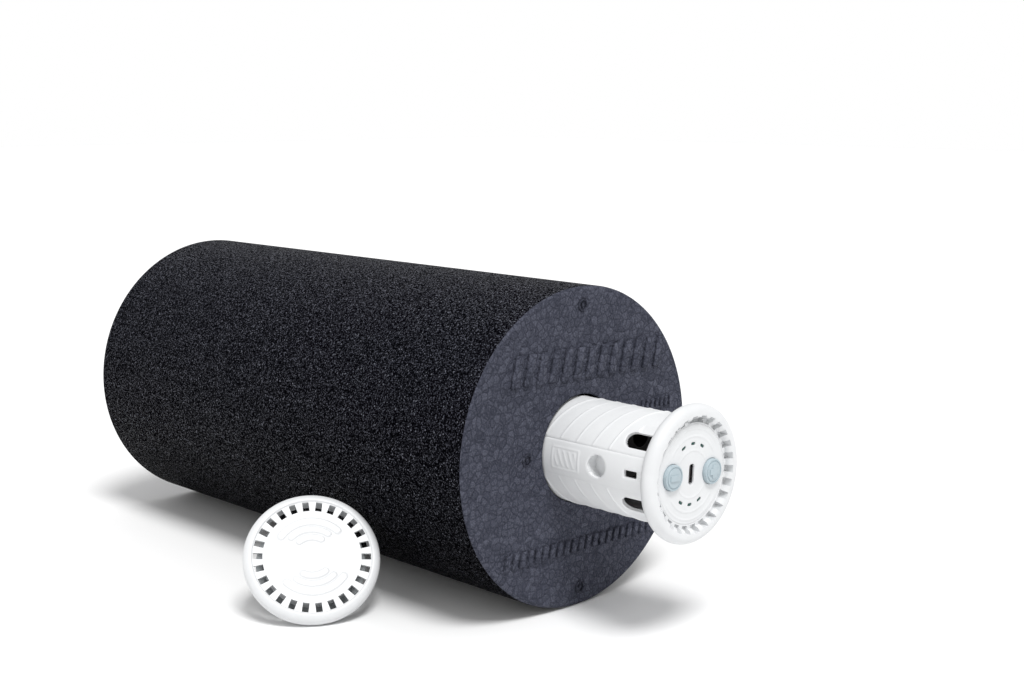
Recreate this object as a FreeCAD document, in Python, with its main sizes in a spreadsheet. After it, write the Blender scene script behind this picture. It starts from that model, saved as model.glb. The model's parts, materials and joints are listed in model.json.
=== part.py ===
import FreeCAD, Part
import math
import os
import re
import Sketcher

# A foam massage roller with a vibrating core pulled part of the way out of its bore,
# and the bore's loose end cap leaning against its side.
# Frame: X along the roller, Z up, origin under the middle of the roller on the floor.
# The core's pieces are drawn along X with x = 0 at the foam's end face when the core is
# pushed home, and the cap's pieces about the middle plane of its rim, facing +X.

V = FreeCAD.Vector
Rotation = FreeCAD.Rotation
Placement = FreeCAD.Placement

sizes = {
    # foam roller
    "roller_length": 300, "roller_radius": 75, "bore_radius": 25.2, "edge_round": 1.8,
    "bore_chamfer": 0.8, "mark_radius": 2.5, "mark_depth": 0.6,
    "mark_high": 66.4, "mark_side": 35.3,
    # where the core and the cap stand
    "core_out": 60, "core_roll": 3.5, "core_drop": 0.45,
    "cap_yaw": 58.3, "cap_lean": 39.3, "cap_roll": 2.8, "cap_x": 72.5, "cap_y": -96.3, "floor_gap": 0.06,
    # core casing
    "shell_radius": 24.75, "wall": 2, "shell_length": 288, "seam_angle": 19,
    "vent_angle": 36, "vent_width": 8, "vent_length": 16.6,
    "slot_height": 3.2, "slot_start": -13, "slot_end": -6.4, "recess_floor": 23.9,
    "well_radius": 5.2, "well_floor": 18.3, "screw_seat": 15.2, "boss_radius": 6.4,
    "boss_floor": 13.7,
    "screw_hole": 1.6, "station_front": -29, "station_mid": -124, "station_rear": -262,
    "frame_thick": 8, "frame_radius": 22.6, "frame_low": -6,
    # control end
    "rim_radius": 30.8, "rim_back": 0.1, "rim_front": 7.2, "rim_inner": 23.8,
    "rim_round": 3.5, "rim_inner_round": 2.5, "face_front": 4.6, "face_thick": 2,
    "face_radius": 22, "seat_radius": 22.05, "ledge_radius": 20.2, "ledge_front": 2.55,
    "collar_radius": 22.65, "collar_length": 6, "collar_gap": 33,
    "slot_count": 26, "rim_slot_width": 3.3, "rim_slot_in": 22.6, "rim_slot_out": 25.9,
    "rim_slot_floor": 3.2, "notch_width": 8.4, "notch_out": 25, "notch_floor": 1, "notch_turn": -6.9,
    "button_reach": 13.4, "button_radius": 5.6, "button_gap": 0.2, "button_front": 6.6,
    "button_step": 4.4, "button_ring": 4.8, "sign_length": 5.4, "sign_width": 1.8,
    "button_flange": 6.1, "button_back": 1.6,
    "led_reach": 13.35, "led_spread": 28, "led_long": 2.7, "led_high": 1.3, "led_pin": 0.6,
    "usb_high": 8.94, "usb_wide": 3.26, "usb_wall": 0.3, "usb_front": 3.9,
    "post_at": 12, "post_radius": 2.2, "post_bore": 1, "board_front": -4.5,
    "board_thick": 1.6, "board_radius": 19.6,
    "switch_side": 6, "switch_high": 3.5, "plunger_radius": 1.7, "plunger_gap": 0.06,
    # battery
    "cell_radius": 9.2, "cell_length": 65, "cell_front": -48, "cell_pitch": 18.8,
    "tray_wall": 2.5, "tray_radius": 21.6, "tray_slack": 0.5, "tab_thick": 0.3,
    # drive board
    "drive_front": -132, "drive_length": 34, "drive_width": 30, "drive_level": -8,
    # motor
    "motor_front": -194, "motor_length": 31, "motor_radius": 12, "motor_wall": 1.1,
    "bell_thick": 3.5, "bush_radius": 3.5, "bush_length": 3.5, "shaft_radius": 1.5,
    "shaft_gap": 0.05, "shaft_reach": 19.5, "magnet_outer": 10.8, "magnet_inner": 9.1,
    "magnet_length": 20, "armature_radius": 8.4, "armature_length": 19,
    "weight_radius": 15, "weight_length": 14, "weight_hub": 4.5, "weight_clear": 4,
    "cradle_length": 7, "cradle_radius": 22.55, "isolator_outer": 13.6, "isolator_inner": 12.05,
    # end cap
    "cap_radius": 31.2, "cap_front": 3.5, "cap_rear": 4.5, "cap_face": 2.9, "cap_back": 1.7,
    "cap_rim_inner": 26.9, "cap_skirt": 27, "cap_round": 3.4, "cap_slot_width": 3,
    "cap_slot_in": 22.4, "cap_slot_out": 26.8, "spigot_radius": 21.6, "spigot_inner": 19.9,
    "spigot_depth": 9.2, "groove_floor": 20.9, "groove_low": -7.6, "groove_high": -5.6,
    "grip_radius": 25.1,
}

os.makedirs("parts", exist_ok=True)
doc = FreeCAD.newDocument("foam_roller")
sheet = doc.addObject("Spreadsheet::Sheet", "dims")
for row, (alias, size) in enumerate(sizes.items(), 1):
    sheet.set(f"A{row}", alias)
    sheet.set(f"B{row}", str(size))
    sheet.setAlias(f"B{row}", alias)
doc.recompute()

subparts = []


def bound(formula):
    """A formula in plain size names, as an expression on the sheet."""
    return re.sub(
        r"[a-z][a-z_]*", lambda m: "dims." + m.group() if m.group() in sizes else m.group(), str(formula)
    )


def number(formula):
    """What a formula comes to now, as a plain number."""
    found = sheet.evalExpression(bound(formula))
    return float(getattr(found, "Value", found))


def bind(thing, **formulas):
    """Ties an object's sizes to the sheet."""
    for prop, formula in formulas.items():
        thing.setExpression(prop, bound(formula))
    return thing


def spot(thing, x=0, y=0, z=0, rotation=None):
    """Puts an object at sizes from the sheet, turned by a fixed rotation."""
    thing.Placement = Placement(V(number(x), number(y), number(z)), rotation or Rotation())
    for axis, formula in (("x", x), ("y", y), ("z", z)):
        thing.setExpression("Placement.Base." + axis, bound(formula))
    return thing


# Primitives and booleans

along_x = Rotation(V(0, 1, 0), 90)
along_y = Rotation(V(1, 0, 0), -90)


def rod(radius, start, length, y=0, z=0):
    """A cylinder along +X from start."""
    thing = bind(doc.addObject("Part::Cylinder", "rod"), Radius=radius, Height=length)
    return spot(thing, start, y, z, along_x)


def pin(radius, start, length, x=0, z=0):
    """A cylinder along +Y from start."""
    thing = bind(doc.addObject("Part::Cylinder", "pin"), Radius=radius, Height=length)
    return spot(thing, x, start, z, along_y)


def block(length, width, height, x=0, y=0, z=0):
    """A box that starts at x and is centred on y and z."""
    thing = bind(doc.addObject("Part::Box", "block"), Length=length, Width=width, Height=height)
    return spot(thing, x, f"({y}) - ({width}) / 2", f"({z}) - ({height}) / 2")


def cut(base, *tools):
    thing = doc.addObject("Part::Cut", "cut")
    thing.Base = base
    thing.Tool = tools[0] if len(tools) == 1 else fuse(*tools)
    return thing


def fuse(*things):
    thing = doc.addObject("Part::MultiFuse", "fuse")
    thing.Shapes = list(things)
    return thing


def common(*things):
    thing = doc.addObject("Part::MultiCommon", "common")
    thing.Shapes = list(things)
    return thing


def tube(outer, inner, start, length):
    """A ring or tube along +X."""
    return cut(rod(outer, start, length), rod(inner, start, length))


def arc_tube(outer, inner, start, length, first, sweep):
    """Part of a tube, from the angle first, counted from -Y towards +Z, over the angle sweep."""
    whole = bind(doc.addObject("Part::Cylinder", "sector"), Radius=outer, Height=length, Angle=sweep)
    turn = Rotation(V(0, 0, 1), -(number(first) + number(sweep)) - 90)
    spot(whole, start, 0, 0, along_x * turn)
    return cut(whole, rod(inner, start, length))


def ring_at(radius, angle):
    """The y and z of a point at an angle from -Y towards +Z, as formulas."""
    return f"-({radius}) * cos({angle})", f"({radius}) * sin({angle})"


# Part design bodies


def new_body(name):
    return doc.addObject("PartDesign::Body", name)


def new_sketch(body, name, plane, offset=None):
    sketch = body.newObject("Sketcher::SketchObject", name)
    origin = next(f for f in body.Origin.OriginFeatures if f.Role == plane)
    sketch.AttachmentSupport = [(origin, "")]
    sketch.MapMode = "FlatFace"
    if offset is not None:
        sketch.setExpression("AttachmentOffset.Base.z", bound(offset))
    return sketch


def outline(sketch, points):
    """A closed outline of straight lines, each corner held at sizes from the sheet."""
    corners = [V(number(a), number(b), 0) for a, b in points]
    first = sketch.GeometryCount
    count = len(corners)
    for i in range(count):
        sketch.addGeometry(Part.LineSegment(corners[i], corners[(i + 1) % count]), False)
    for i in range(count):
        line, following = first + i, first + (i + 1) % count
        sketch.addConstraint(Sketcher.Constraint("Coincident", line, 2, following, 1))
    for i, corner in enumerate(corners):
        for kind, formula, size in zip(("DistanceX", "DistanceY"), points[i], corner):
            held = sketch.addConstraint(Sketcher.Constraint(kind, -1, 1, first + i, 1, size))
            sketch.setExpression(f"Constraints[{held}]", bound(formula))


def circle(sketch, across, up, radius):
    """A circle whose centre and radius are held at sizes from the sheet."""
    centre = V(number(across), number(up), 0)
    ring = sketch.addGeometry(Part.Circle(centre, V(0, 0, 1), number(radius)), False)
    held = [
        (sketch.addConstraint(Sketcher.Constraint("DistanceX", -1, 1, ring, 3, centre.x)), across),
        (sketch.addConstraint(Sketcher.Constraint("DistanceY", -1, 1, ring, 3, centre.y)), up),
        (sketch.addConstraint(Sketcher.Constraint("Radius", ring, number(radius))), radius),
    ]
    for constraint, formula in held:
        sketch.setExpression(f"Constraints[{constraint}]", bound(formula))


def box_outline(sketch, across, up, width, height):
    """A rectangle about a centre."""
    low, high = f"({across}) - ({width}) / 2", f"({across}) + ({width}) / 2"
    bottom, top = f"({up}) - ({height}) / 2", f"({up}) + ({height}) / 2"
    outline(sketch, [(low, bottom), (high, bottom), (high, top), (low, top)])


def turned_box(sketch, reach, width, height, turn):
    """A rectangle at a reach above the middle, the whole turned about the middle, + from up to left."""
    low, high = f"(({reach}) - ({height}) / 2)", f"(({reach}) + ({height}) / 2)"
    corners = [(f"-({width}) / 2", low), (f"({width}) / 2", low), (f"({width}) / 2", high),
               (f"-({width}) / 2", high)]
    outline(sketch, [(f"({a}) * cos({turn}) - ({b}) * sin({turn})",
                      f"({a}) * sin({turn}) + ({b}) * cos({turn})") for a, b in corners])


def turned(name, points):
    """A body turned about X from an outline of (x, radius) points."""
    body = new_body(name)
    sketch = new_sketch(body, name + "_profile", "XY_Plane")
    outline(sketch, points)
    feature = body.newObject("PartDesign::Revolution", name + "_turned")
    feature.Profile = sketch
    feature.ReferenceAxis = (sketch, ["H_Axis"])
    feature.Angle = 360
    doc.recompute()
    return body


def pocket(body, sketch, depth):
    """Cuts a sketch into the body by a depth, or right through."""
    before = body.Shape.Volume
    feature = body.newObject("PartDesign::Pocket", sketch.Name + "_cut")
    feature.Profile = sketch
    if depth == "through":
        feature.Type = "ThroughAll"
        feature.SideType = "Symmetric"
    else:
        bind(feature, Length=depth)
    doc.recompute()
    if body.Shape.Volume > before - 0.01:
        raise RuntimeError(sketch.Name + " cuts nothing")
    return feature


def pad(body, sketch, height, backwards=False):
    """Raises a sketch out of the body."""
    feature = body.newObject("PartDesign::Pad", sketch.Name + "_raised")
    feature.Profile = sketch
    feature.Reversed = backwards
    bind(feature, Length=height)
    doc.recompute()
    return feature


def round_rings(body, rings, radius):
    """Fillets the circular edges found at the given (x, radius) places."""
    wanted = [(number(x), number(r)) for x, r in rings]
    names = []
    for i, edge in enumerate(body.Shape.Edges, 1):
        curve = edge.Curve
        if not isinstance(curve, Part.Circle) or abs(abs(curve.Axis.x) - 1) > 1e-6:
            continue
        if any(math.hypot(curve.Center.x - x, curve.Radius - r) < 1e-4 for x, r in wanted):
            names.append(f"Edge{i}")
    base = body.Tip
    feature = body.newObject("PartDesign::Fillet", f"{body.Name}_round{len(body.Group)}")
    feature.Base = (base, names)
    bind(feature, Radius=radius)
    doc.recompute()
    return feature


def repeat_round(body, feature, sketch, count):
    """Repeats a cut around the X axis."""
    pattern = body.newObject("PartDesign::PolarPattern", feature.Name + "_ring")
    pattern.Originals = [feature]
    pattern.Axis = (sketch, ["N_Axis"])
    pattern.Angle = 360
    bind(pattern, Occurrences=count)
    body.Tip = pattern
    doc.recompute()


# Where the three groups of pieces stand


def finish(label, thing, place):
    """Makes a thing a named sub-part and puts it in its place."""
    thing.Label = label
    place(thing)
    subparts.append(thing)
    return thing


def group(*things):
    """Separate solids that share a node, or one primitive that needs a place of its own."""
    thing = doc.addObject("Part::Compound", "group")
    thing.Links = list(things)
    return thing


def on_floor(thing):
    spot(thing, 0, 0, "roller_radius")


def in_core(thing):
    spot(thing, "roller_length / 2 + core_out", 0, "roller_radius - core_drop",
         Rotation(V(1, 0, 0), -number("core_roll")))


cap_height = ("cap_round + (cap_radius - cap_round) * cos(cap_lean)"
              " + (cap_rear - cap_round) * sin(cap_lean) + floor_gap")


def in_cap(thing):
    lean_back = Rotation(V(0, 0, 1), number("cap_yaw") - 90) * Rotation(V(0, 1, 0), -number("cap_lean"))
    turn = lean_back * Rotation(V(1, 0, 0), number("cap_roll"))
    spot(thing, "cap_x", "cap_y", cap_height, turn)


# Foam


def foam_roller():
    """Solid expanded foam with a straight bore and four moulding marks on the near end."""
    half = "roller_length / 2"
    body = turned("foam", [
        (f"-{half}", "bore_radius"), (half, "bore_radius"),
        (half, "roller_radius"), (f"-{half}", "roller_radius"),
    ])
    round_rings(body, [(half, "roller_radius"), (f"-{half}", "roller_radius")], "edge_round")
    round_rings(body, [(half, "bore_radius"), (f"-{half}", "bore_radius")], "bore_chamfer")
    marks = new_sketch(body, "marks", "YZ_Plane", half)
    for across, up in (("0", "mark_high"), ("0", "-mark_high"), ("mark_side", "0"), ("-mark_side", "0")):
        circle(marks, across, up, "mark_radius")
    pocket(body, marks, "mark_depth")
    finish("foam_roller", body, on_floor)


# Core casing

stations = ("station_front", "station_mid", "station_rear")


def vent(angle):
    """A round-ended opening through the casing wall, up to the front edge, at an angle."""
    y, z = ring_at("shell_radius", angle)
    start, width = "vent_width / 2 - vent_length", "vent_width"
    end = bind(doc.addObject("Part::Cylinder", "vent_end"), Radius="vent_width / 2", Height="10")
    body = bind(doc.addObject("Part::Box", "vent_body"),
                Length="vent_length", Width=width, Height="10")
    turn = Rotation(V(1, 0, 0), 90 - number(angle))
    inward = turn.multVec(V(0, 0, -5))
    side = turn.multVec(V(0, -number(width) / 2, -5))
    spot(end, start, f"{y} + {inward.y}", f"{z} + {inward.z}", turn)
    spot(body, start, f"{y} + {side.y}", f"{z} + {side.z}", turn)
    return fuse(end, body)


def core_shells():
    """The casing's two half tubes, parted along the upper edges of the smooth side strips."""
    upper = arc_tube("shell_radius", "shell_radius - wall", "-shell_length", "shell_length",
                     "seam_angle", "180 - 2 * seam_angle")
    lower = arc_tube("shell_radius", "shell_radius - wall", "-shell_length", "shell_length",
                     "180 - seam_angle", "180 + 2 * seam_angle")
    bosses, holes = [], []
    for station in stations:
        bosses.append(pin("boss_radius", "boss_floor", "9.2", station))
        bosses.append(pin("boss_radius", "-boss_floor - 9.2", "9.2", station))
        holes.append(pin("well_radius", "well_floor", "10", station))
        holes.append(pin("well_radius", "-well_floor - 10", "10", station))
        holes.append(pin("well_radius - 0.3", "screw_seat", "10", station))
        holes.append(pin("well_radius - 0.3", "-screw_seat - 10", "10", station))
        holes.append(pin("screw_hole", "-30", "60", station))
    slot = block("slot_end - slot_start", "60", "slot_height", "slot_start")
    recess = cut(block("1 - slot_end", "60", "slot_height", "slot_end"),
                 block("1 - slot_end", "2 * recess_floor", "slot_height + 1", "slot_end"))
    lower_vents = [vent("-vent_angle"), vent("vent_angle - 180")]
    upper_vents = [vent("vent_angle"), vent("180 - vent_angle")]
    finish("core_shell_upper", cut(upper, *upper_vents), in_core)
    finish("core_shell_lower", cut(fuse(lower, *bosses), slot, recess, *lower_vents, *holes), in_core)


def core_end_plug():
    end = "-shell_length"
    body = turned("end_plug", [
        (f"{end} - 2", "0"), (f"{end} - 2", "shell_radius - 0.05"), (end, "shell_radius - 0.05"),
        (end, "collar_radius"), (f"{end} + 8", "collar_radius"), (f"{end} + 8", "collar_radius - 2"),
        (f"{end} + 0.4", "collar_radius - 2"), (f"{end} + 0.4", "0"),
    ])
    round_rings(body, [(f"{end} - 2", "shell_radius - 0.05")], "1.2")
    finish("core_end_plug", body, in_core)


def shell_frames():
    """Three bulkheads inside the casing that take the casing screws and carry the wiring."""
    for name, station in zip(("front", "mid", "rear"), stations):
        start = f"{station} - frame_thick / 2"
        disc = rod("frame_radius", start, "frame_thick")
        keep = block("frame_thick", "60", "frame_radius - frame_low", start, "0",
                     "(frame_radius + frame_low) / 2")
        bosses = [
            pin("boss_radius + 0.2", "boss_floor - 0.05", "12", station),
            pin("boss_radius + 0.2", "-boss_floor - 11.95", "12", station),
        ]
        pilot = pin("post_bore + 0.45", "-20", "40", station)
        wires = rod("5", start, "frame_thick", "0", "12")
        shape = cut(common(disc, keep), *bosses, pilot, wires)
        finish("shell_frame_" + name, group(shape), in_core)


def shell_screws():
    """Six pan-head screws at the bottoms of the wells, each under a plain press-in plug."""
    screws, plugs = [], []
    for station in stations:
        screws.append(fuse(pin("2.9", "screw_seat", "1.9", station),
                           pin("1.4", "screw_seat - 7", "7", station)))
        screws.append(fuse(pin("2.9", "-screw_seat - 1.9", "1.9", station),
                           pin("1.4", "-screw_seat", "7", station)))
        plugs.append(pin("well_radius - 0.35", "screw_seat + 1.95", "1.15", station))
        plugs.append(pin("well_radius - 0.35", "-screw_seat - 3.1", "1.15", station))
    finish("shell_screws", group(*screws), in_core)
    finish("screw_plugs", group(*plugs), in_core)


# Control end


def control_bezel():
    """The round-edged flange, its collar inside the casing, and the ring of slots."""
    body = turned("bezel", [
        ("-collar_length", "ledge_radius"), ("ledge_front", "ledge_radius"),
        ("ledge_front", "seat_radius"), ("face_front", "seat_radius"),
        ("face_front", "rim_inner"), ("rim_front", "rim_inner"),
        ("rim_front", "rim_radius"), ("rim_back", "rim_radius"),
        ("rim_back", "collar_radius"), ("-collar_length", "collar_radius"),
    ])
    round_rings(body, [("rim_front", "rim_radius"), ("rim_back", "rim_radius")], "rim_round")
    round_rings(body, [("rim_front", "rim_inner")], "rim_inner_round")
    window = new_sketch(body, "rim_window", "YZ_Plane", "rim_front")
    box_outline(window, "(rim_slot_in + rim_slot_out) / 2", "0",
                "rim_slot_out - rim_slot_in", "rim_slot_width")
    opening = pocket(body, window, "rim_front - rim_slot_floor")
    repeat_round(body, opening, window, "slot_count")
    notch = new_sketch(body, "notch", "YZ_Plane", "rim_front")
    turned_box(notch, "(rim_slot_in + notch_out) / 2", "notch_width", "notch_out - rim_slot_in",
               "notch_turn")
    pocket(body, notch, "rim_front - notch_floor")
    gap = new_sketch(body, "collar_sides", "YZ_Plane", "-collar_length")
    box_outline(gap, "0", "0", "2 * rim_radius", "collar_gap")
    pocket_forward(body, gap, "collar_length - 0.6")
    finish("control_bezel", body, in_core)


def pocket_forward(body, sketch, depth):
    """Cuts a sketch into the body along +X."""
    before = body.Shape.Volume
    feature = body.newObject("PartDesign::Pocket", sketch.Name + "_cut")
    feature.Profile = sketch
    feature.Reversed = True
    bind(feature, Length=depth)
    doc.recompute()
    if body.Shape.Volume > before - 0.01:
        raise RuntimeError(sketch.Name + " cuts nothing")
    return feature


# Three lights above the socket and three below, on one circle
led_turns = ("-led_spread", "0", "led_spread", "180 - led_spread", "180", "180 + led_spread")


post_places = [(f"{a} * post_at", f"{b} * post_at") for a in (1, -1) for b in (1, -1)]


def control_face():
    """The dished plate with openings for the keys, the lights and the charging socket."""
    back = "face_front - face_thick"
    body = turned("face", [
        (back, "0"), ("face_front", "0"), ("face_front", "face_radius"), (back, "face_radius"),
    ])
    holes = new_sketch(body, "face_holes", "YZ_Plane", "face_front")
    for side in ("-button_reach", "button_reach"):
        circle(holes, side, "0", "button_radius + button_gap")
    for turn in led_turns:
        turned_box(holes, "led_reach", "led_long", "led_high", turn)
    box_outline(holes, "0", "0", "usb_wide + 0.3", "usb_high + 0.3")
    pocket(body, holes, "through")
    posts = new_sketch(body, "posts", "YZ_Plane", back)
    for across, up in post_places:
        circle(posts, across, up, "post_radius")
    pad(body, posts, f"{back} - board_front", True)
    bores = new_sketch(body, "post_bores", "YZ_Plane", "board_front")
    for across, up in post_places:
        circle(bores, across, up, "post_bore")
    pocket_forward(body, bores, "5")
    finish("control_face", body, in_core)


def button(name, side, upright):
    """A stepped round key with a raised minus or plus sign and a retaining flange behind."""
    back = "face_front - face_thick - 0.05"
    body = turned(name, [
        ("button_back", "0"), ("button_front", "0"), ("button_front", "button_step"),
        ("button_front - 0.5", "button_step"), ("button_front - 0.5", "button_ring"),
        ("button_front - 0.1", "button_ring"), ("button_front - 0.1", "button_radius"),
        (back, "button_radius"), (back, "button_flange"), ("button_back", "button_flange"),
    ])
    sign = new_sketch(body, name + "_sign", "YZ_Plane", "button_front")
    if upright:
        arm, thick = "sign_length / 2", "sign_width / 2"
        corners = [(arm, thick), (thick, thick), (thick, arm)]
        quarter = [(a, b) for a, b in corners]
        outline(sign, [
            *quarter, *[(f"-{a}", b) for a, b in reversed(quarter)],
            *[(f"-{a}", f"-{b}") for a, b in quarter], *[(a, f"-{b}") for a, b in reversed(quarter)],
        ])
    else:
        box_outline(sign, "0", "0", "sign_length", "sign_width")
    pad(body, sign, "0.35")

    def place(thing):
        turn = Rotation(V(1, 0, 0), -number("core_roll"))
        spot(thing, "roller_length / 2 + core_out", f"{side} * button_reach * cos(core_roll)",
             f"roller_radius - core_drop - {side} * button_reach * sin(core_roll)", turn)

    finish(name + "_button", body, place)


def control_board():
    """The round board with two key switches, six lights and the charging socket."""
    back = "board_front - board_thick"
    holes = [rod("post_bore + 0.15", back, "board_thick", a, b) for a, b in post_places]
    board = cut(rod("board_radius", back, "board_thick"), *holes)
    finish("control_board", group(board), in_core)
    screws = [fuse(rod("2", f"{back} - 1.4", "1.4", a, b), rod("post_bore - 0.05", back, "5", a, b))
              for a, b in post_places]
    finish("board_screws", group(*screws), in_core)
    lights = [block("0.9", "1.2", "2", "board_front", f"-led_reach * sin({turn})",
                    f"led_reach * cos({turn})") for turn in led_turns]
    finish("status_leds", group(*lights), in_core)
    for name, side in (("minus", -1), ("plus", 1)):
        reach = f"{side} * button_reach"
        top = "board_front + switch_high"
        body = block("switch_high", "switch_side", "switch_side", "board_front", reach)
        seat = rod("plunger_radius + plunger_gap", f"{top} - 2.4", "2.4", reach)
        finish(name + "_switch", cut(body, seat), in_core)
        stem = rod("plunger_radius", f"{top} - 1.2", f"button_back - ({top}) + 1.2", reach)
        finish(name + "_plunger", group(stem), in_core)


def usb_socket():
    """The socket's metal shell and the tongue inside it."""
    length = "usb_front - board_front"
    shell = cut(
        block(length, "usb_wide", "usb_high", "board_front"),
        block(length, "usb_wide - 2 * usb_wall", "usb_high - 2 * usb_wall", "board_front + 2"),
    )
    finish("usb_socket_shell", shell, in_core)
    tongue = block("6", "0.7", "6.8", "board_front + 2")
    finish("usb_socket_tongue", group(tongue), in_core)


def light_guides():
    """Two clear curved bars behind the face, each with three pins that show as lights."""
    guides = []
    back = "face_front - face_thick"
    for side in (1, -1):
        bar = arc_tube("led_reach + 1.2", "led_reach - 1.2", f"{back} - 1.2", "1.1",
                       f"{90 * side} - led_spread - 5", "2 * led_spread + 10")
        pins = [rod("led_pin", f"{back} - 0.6", "face_thick + 0.4",
                    f"led_reach * sin({turn})", f"{side} * led_reach * cos({turn})")
                for turn in ("-led_spread", "0", "led_spread")]
        guides.append(fuse(bar, *pins))
    finish("light_guides", group(*guides), in_core)


# Inside the core


def battery():
    """Two cells side by side, one above the other, between the ends of a tray."""
    rear = "cell_front - cell_length"
    front_wall = rod("tray_radius", "cell_front + tray_slack", "tray_wall")
    rear_wall = rod("tray_radius", f"{rear} - tray_slack - tray_wall", "tray_wall")
    rails = [block("cell_length + 2 * tray_slack + 2 * tray_wall", "2", "12",
                   f"{rear} - tray_slack - tray_wall", side) for side in ("-16.5", "16.5")]
    wires = [rod("3", f"{rear} - 9", "cell_length + 18", side, "0") for side in ("-9", "9")]
    finish("battery_tray", cut(fuse(front_wall, rear_wall, *rails), *wires), in_core)
    for name, side in (("upper", 1), ("lower", -1)):
        cell = rod("cell_radius", rear, "cell_length", "0", f"{side} * cell_pitch / 2")
        finish("battery_cell_" + name, group(cell), in_core)
    tabs = [block("tab_thick", "7", "26", place) for place in
            ("cell_front", f"{rear} - tab_thick")]
    finish("battery_tabs", group(*tabs), in_core)


def drive_board():
    """The motor's board, with its capacitors and power chips on top."""
    rear = "drive_front - drive_length"
    board = block("drive_length", "drive_width", "1.6", rear, "0", "drive_level")
    finish("drive_board", group(board), in_core)
    top = "drive_level + 0.8"
    cans = []
    for offset in (7, 17):
        can = bind(doc.addObject("Part::Cylinder", "can"), Radius="4", Height="9")
        cans.append(spot(can, f"drive_front - {offset}", "-8", top))
    finish("drive_capacitors", group(*cans), in_core)
    chips = [block("5", "6", "2", f"drive_front - {offset}", "7", f"{top} + 1") for offset in (10, 19, 28)]
    finish("drive_chips", group(*chips), in_core)


def motor():
    """A small motor across rubber rings in two cradles, with a half-round weight at each end."""
    front, rear = "motor_front", "motor_front - motor_length"
    bush_seat = "bush_radius"
    can = cut(
        rod("motor_radius", rear, "motor_length - bell_thick"),
        rod("motor_radius - motor_wall", f"{rear} + bush_length", "motor_length"),
        rod(bush_seat, rear, "bush_length"),
    )
    finish("motor_can", can, in_core)
    bell = cut(rod("motor_radius", f"{front} - bell_thick", "bell_thick"),
               rod(bush_seat, f"{front} - bell_thick", "bell_thick"))
    finish("motor_end_bell", bell, in_core)
    bushes = [tube("bush_radius", "shaft_radius + shaft_gap", place, "bush_length")
              for place in (f"{front} - bush_length", rear)]
    finish("motor_bushes", group(*bushes), in_core)
    middle = "motor_front - motor_length / 2"
    magnets = [arc_tube("magnet_outer", "magnet_inner", f"{middle} - magnet_length / 2",
                        "magnet_length", first, "130") for first in ("25", "205")]
    finish("motor_magnets", group(*magnets), in_core)
    armature = tube("armature_radius", "shaft_radius", f"{middle} - armature_length / 2",
                    "armature_length")
    finish("motor_armature", armature, in_core)
    shaft = rod("shaft_radius", f"{rear} - shaft_reach", "motor_length + 2 * shaft_reach")
    finish("motor_shaft", group(shaft), in_core)
    for name, start in (("front", f"{front} + weight_clear"),
                        ("rear", f"{rear} - weight_clear - weight_length")):
        half = arc_tube("weight_radius", "shaft_radius", start, "weight_length", "180", "180")
        hub = tube("weight_hub", "shaft_radius", start, "weight_length")
        finish("eccentric_weight_" + name, fuse(half, hub), in_core)
    for name, start in (("front", f"{front} - cradle_length - 1"), ("rear", f"{rear} + 1")):
        ring = tube("cradle_radius", "isolator_outer", start, "cradle_length")
        wires = [rod("2", start, "cradle_length", side, "0") for side in ("-17.5", "17.5")]
        finish("motor_cradle_" + name, cut(ring, *wires), in_core)
        rubber = tube("isolator_outer", "isolator_inner", start, "cradle_length")
        finish("motor_isolator_" + name, rubber, in_core)


# End cap


def end_cap():
    """The bore's loose cap: a rimmed and slotted cover, its spigot and the spigot's rubber ring."""
    cover = turned("cap_plate", [
        ("cap_back", "0"), ("cap_face", "0"), ("cap_face", "cap_rim_inner"),
        ("cap_front", "cap_rim_inner + 0.7"), ("cap_front", "cap_radius"),
        ("-cap_rear", "cap_radius"), ("-cap_rear", "cap_skirt"), ("cap_back", "cap_skirt"),
    ])
    round_rings(cover, [("cap_front", "cap_radius"), ("-cap_rear", "cap_radius")], "cap_round")
    window = new_sketch(cover, "cap_window", "YZ_Plane", "cap_front")
    turned_box(window, "(cap_slot_in + cap_slot_out) / 2", "cap_slot_width",
               "cap_slot_out - cap_slot_in", "0")
    opening = pocket(cover, window, "through")
    repeat_round(cover, opening, window, "slot_count")
    finish("cap_cover", cover, in_cap)
    spigot = turned("spigot", [
        ("-spigot_depth", "spigot_inner"), ("cap_back", "spigot_inner"),
        ("cap_back", "spigot_radius"), ("groove_high", "spigot_radius"),
        ("groove_high", "groove_floor"), ("groove_low", "groove_floor"),
        ("groove_low", "spigot_radius"), ("-spigot_depth", "spigot_radius"),
    ])
    finish("cap_spigot", spigot, in_cap)
    grip = turned("grip", [
        ("groove_low + 0.05", "groove_floor"), ("groove_high - 0.05", "groove_floor"),
        ("groove_high - 0.05", "grip_radius"), ("groove_low + 0.05", "grip_radius"),
    ])
    round_rings(grip, [("groove_high - 0.05", "grip_radius"), ("groove_low + 0.05", "grip_radius")], "0.5")
    finish("cap_grip_ring", grip, in_cap)


foam_roller()
core_shells()
core_end_plug()
shell_frames()
shell_screws()
control_bezel()
control_face()
button("minus", -1, False)
button("plus", 1, True)
control_board()
usb_socket()
light_guides()
battery()
drive_board()
motor()
end_cap()
doc.recompute()

for thing in doc.Objects:
    if "Invalid" in thing.State or "Error" in thing.State:
        raise RuntimeError(f"{thing.Label} did not build: {thing.State}")
for thing in subparts:
    if thing.Shape.isNull() or not thing.Shape.isValid() or not thing.Shape.Solids:
        raise RuntimeError(f"{thing.Label} has no sound solid")
for thing in subparts:
    thing.Shape.exportStep(f"parts/{thing.Label}.step")
    print(f"{thing.Label}: {len(thing.Shape.Solids)} solids, {thing.Shape.Volume / 1000:.2f} cm3")
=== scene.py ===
import json
import math

import bmesh
import bpy
import numpy as np
from mathutils import Matrix, Vector


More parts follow.
